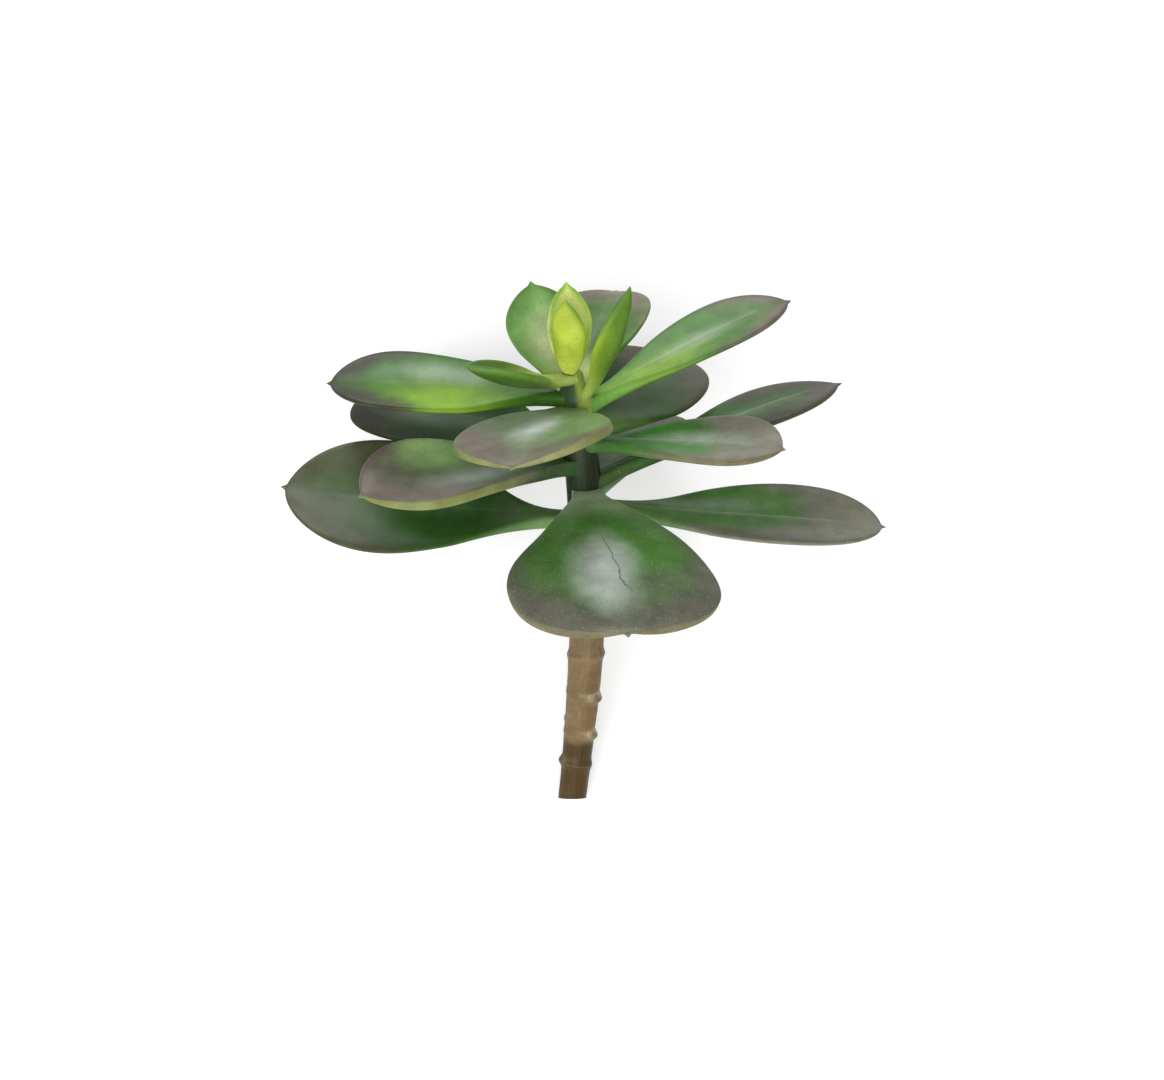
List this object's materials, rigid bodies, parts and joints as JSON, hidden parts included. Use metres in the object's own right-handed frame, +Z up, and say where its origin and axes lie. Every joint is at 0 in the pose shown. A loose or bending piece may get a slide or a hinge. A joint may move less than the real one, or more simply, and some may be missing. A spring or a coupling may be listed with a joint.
{
  "type": "cut succulent stem",
  "caption": "Cut stem of a rosette succulent lying on its side: a bare ringed stem with fleshy spoon-shaped leaves round its upper third.",
  "frame": {"origin": "on the table under the centre of the part's box, as the cut stem lies", "axes": "+Z up from the table; +Y along the stem on the table, from its cut end to its crown; +X across the rosette, its longest extent"},
  "size_m": [0.2042, 0.1802, 0.141],
  "materials": {
    "stem_bark": "satin tan bark with raised leaf scars, green near the tip",
    "leaf_bud": "satin waxy leaf skin, lime",
    "leaf_young": "satin waxy leaf skin, fresh green with lime margins",
    "leaf_mature": "satin waxy leaf skin, green with a mauve-grey tip and olive margin"
  },
  "bodies": {
    "root": {"stem": "stem_bark", "bud_leaf_front": "leaf_bud", "bud_leaf_back": "leaf_bud", "crown_leaf_back_left": "leaf_young", "crown_leaf_right": "leaf_young", "crown_leaf_back": "leaf_young", "crown_leaf_front_left": "leaf_young", "upper_leaf_left": "leaf_mature", "upper_leaf_right": "leaf_mature", "upper_leaf_front": "leaf_mature", "middle_leaf_back_right": "leaf_mature", "middle_leaf_front_right": "leaf_mature", "middle_leaf_back_left": "leaf_mature", "middle_leaf_front_left": "leaf_mature", "middle_leaf_back": "leaf_mature", "middle_leaf_right": "leaf_mature", "lower_leaf_front": "leaf_mature", "lower_leaf_back": "leaf_mature", "lower_leaf_right": "leaf_mature", "lower_leaf_left": "leaf_mature"}
  },
  "joints": []
}
